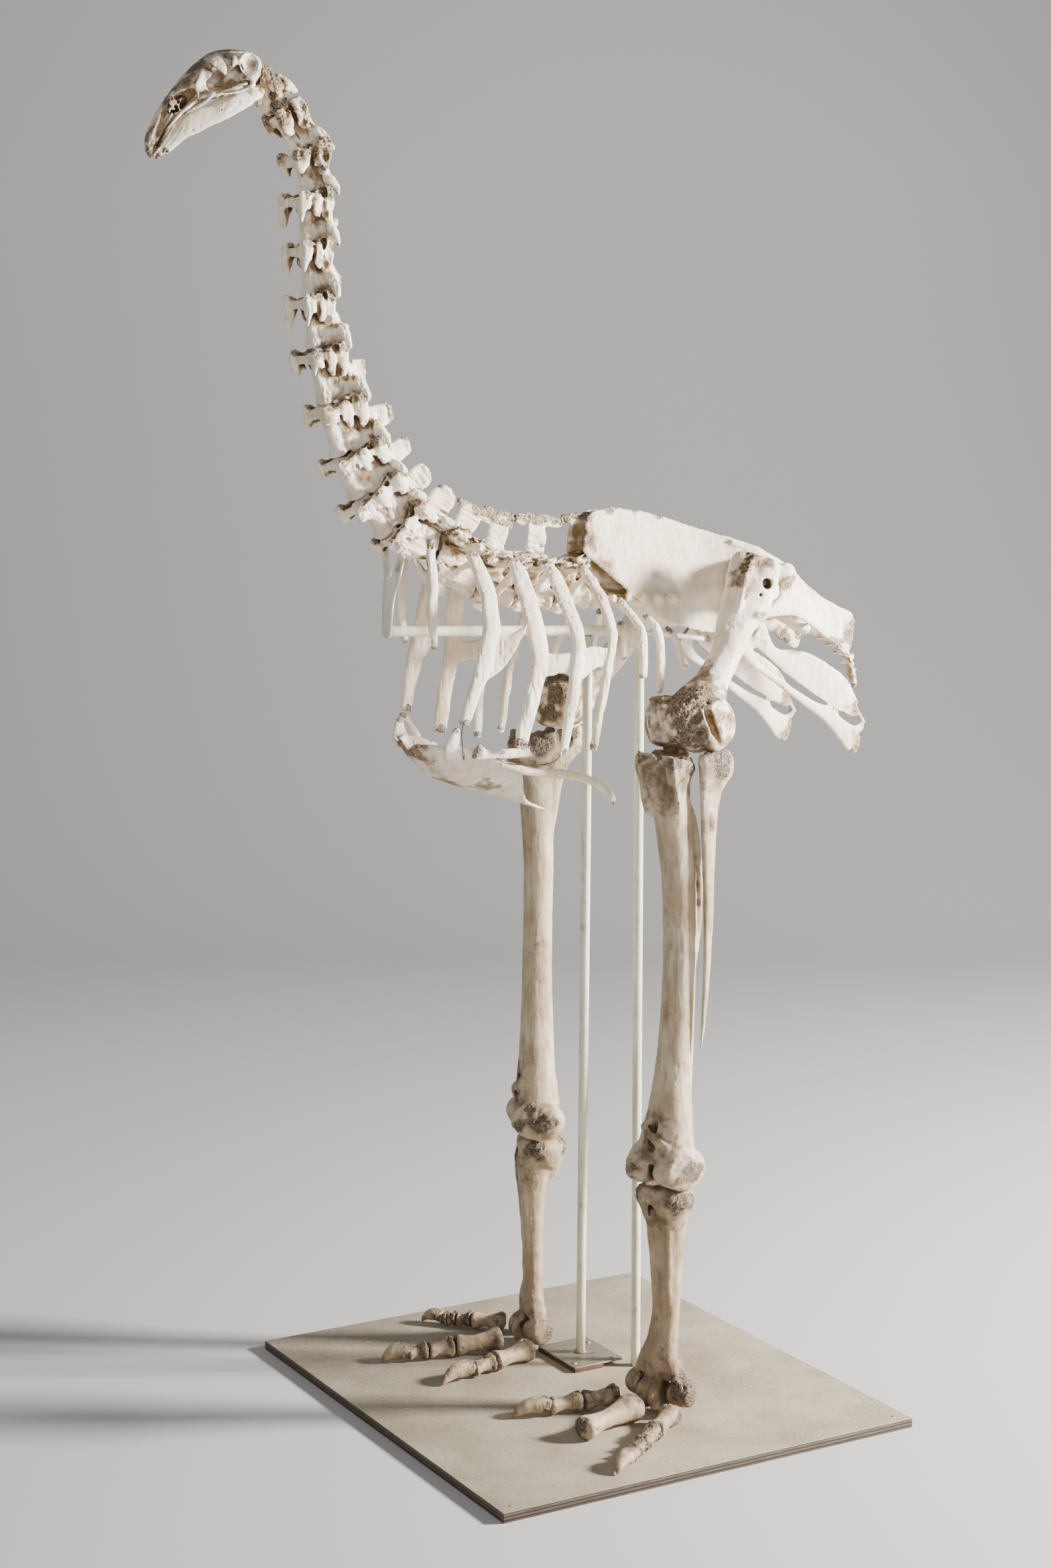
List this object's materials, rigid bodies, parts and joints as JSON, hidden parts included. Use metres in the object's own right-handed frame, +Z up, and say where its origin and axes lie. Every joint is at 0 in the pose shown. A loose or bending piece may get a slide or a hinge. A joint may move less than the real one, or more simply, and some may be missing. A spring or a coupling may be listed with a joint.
{
  "type": "mounted moa skeleton",
  "caption": "Life-size skeleton of a large extinct flightless bird, standing on a painted board, its trunk held from below by thin painted rods, a beam and a fork",
  "frame": {"origin": "middle of the board's underside, where the mount rests on the floor", "axes": "+Z up; the bird faces -X; its left side is towards -Y"},
  "size_m": [1.2301, 0.81, 2.041],
  "materials": {
    "bone": "dry ivory bone with grey and brown stains",
    "leg_bone": "dry greyish brown bone, porous at the ends",
    "painted_rod": "pale greenish white satin paint",
    "plate_metal": "dull unpainted steel",
    "shim_wood": "dark brown wood",
    "board_wood": "matt speckled beige paint, bare plies at the edges"
  },
  "bodies": {
    "root": {"stand_board": "board_wood", "stand_shim": "shim_wood", "stand_plate": "plate_metal", "stand_beam": "painted_rod", "stand_rod_rear": "painted_rod", "stand_rod_front": "painted_rod", "stand_fork": "painted_rod", "skull": "bone", "jaw": "bone", "neck_01_atlas": "bone", "neck_02_axis": "bone", "neck_03": "bone", "neck_04": "bone", "neck_05": "bone", "neck_06": "bone", "neck_07": "bone", "neck_08": "bone", "neck_09": "bone", "neck_10": "bone", "neck_11": "bone", "neck_12": "bone", "back_01": "bone", "back_02": "bone", "back_03": "bone", "back_04": "bone", "pelvis": "bone", "tail": "bone", "rib_left_1": "bone", "rib_left_2": "bone", "ribs_left_3_to_5": "bone", "rib_left_6": "bone", "rib_left_7": "bone", "rib_left_8": "bone", "rib_right_1": "bone", "rib_right_2": "bone", "ribs_right_3_to_5": "bone", "rib_right_6": "bone", "rib_right_7": "bone", "rib_right_8": "bone", "sternum": "bone", "sternal_rib_left": "bone", "sternal_rib_right": "bone", "femur_left": "bone", "tibiotarsus_left": "leg_bone", "fibula_left": "bone", "tarsometatarsus_left": "leg_bone", "toe_left_2": "leg_bone", "toe_left_3": "leg_bone", "toe_left_4": "leg_bone", "femur_right": "bone", "tibiotarsus_right": "leg_bone", "fibula_right": "bone", "tarsometatarsus_right": "leg_bone", "toe_right_2": "leg_bone", "toe_right_3": "leg_bone", "toe_right_4": "leg_bone"}
  },
  "joints": []
}
